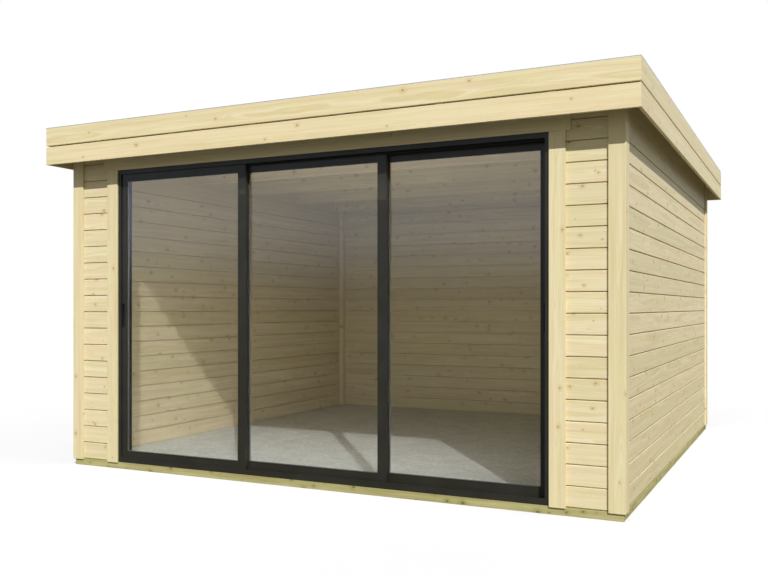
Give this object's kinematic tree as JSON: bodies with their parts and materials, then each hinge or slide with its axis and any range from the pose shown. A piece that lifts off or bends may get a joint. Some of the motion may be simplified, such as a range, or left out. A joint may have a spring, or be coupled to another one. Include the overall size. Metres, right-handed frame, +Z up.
{
  "type": "garden shed",
  "caption": "Flat-roofed timber garden shed with horizontal board walls, a deep two-board fascia and a wide glazed sliding door front",
  "frame": {"origin": "on the ground, under the middle of the roof's outline", "axes": "+X to the right seen from the front, +Y from the glazed front to the back wall, +Z up"},
  "size_m": [4.03, 4.17, 2.352],
  "materials": {
    "spruce": "planed, untreated, pale",
    "treated_timber": "pressure treated, greenish",
    "floor_panel": "light grey coated panel, finely mottled",
    "glass": "clear with a slight grey-brown tint",
    "anthracite_aluminium": "anthracite powder coat, satin",
    "pull": "black, matt",
    "roller": "white nylon",
    "membrane": "dark grey roofing membrane, matt",
    "capping": "mill finish, dull grey"
  },
  "bodies": {
    "shed": {"base_beam_front": "treated_timber", "base_beam_back": "treated_timber", "base_beams_side": "treated_timber", "sill_bearer": "treated_timber", "floor_bearers": "treated_timber", "floor_panel": "floor_panel", "wall_left": "spruce", "wall_right": "spruce", "wall_back": "spruce", "front_wall_left": "spruce", "front_wall_right": "spruce", "front_wall_head": "spruce", "corner_posts": "spruce", "door_studs": "spruce", "door_lintel": "spruce", "corner_boards_front": "spruce", "corner_boards_back": "spruce", "corner_boards_left": "spruce", "corner_boards_right": "spruce", "jamb_boards": "spruce", "header_board": "spruce", "roof_joists": "spruce", "roof_boarding": "spruce", "roof_membrane": "membrane", "edge_capping": "capping", "fascia_front": "spruce", "fascia_back": "spruce", "fascia_left": "spruce", "fascia_right": "spruce", "fascia_battens": "spruce", "door_sill": "anthracite_aluminium", "door_head": "anthracite_aluminium", "door_jambs": "anthracite_aluminium"},
    "left_sash": {"sash_left": "anthracite_aluminium", "glass_left": "glass", "rollers_left": "roller", "pull_left": "pull"},
    "middle_sash": {"sash_middle": "anthracite_aluminium", "glass_middle": "glass", "rollers_middle": "roller"},
    "right_sash": {"sash_right": "anthracite_aluminium", "glass_right": "glass", "rollers_right": "roller", "pull_right": "pull"}
  },
  "joints": [
    {"name": "left_sash_slide", "type": "slide", "parent": "shed", "child": "left_sash", "axis": [1, 0, 0], "range_m": [0, 1.958]},
    {"name": "middle_sash_slide", "type": "slide", "parent": "shed", "child": "middle_sash", "axis": [1, 0, 0], "range_m": [-0.979, 0.979]},
    {"name": "right_sash_slide", "type": "slide", "parent": "shed", "child": "right_sash", "axis": [1, 0, 0], "range_m": [-1.958, 0]}
  ]
}
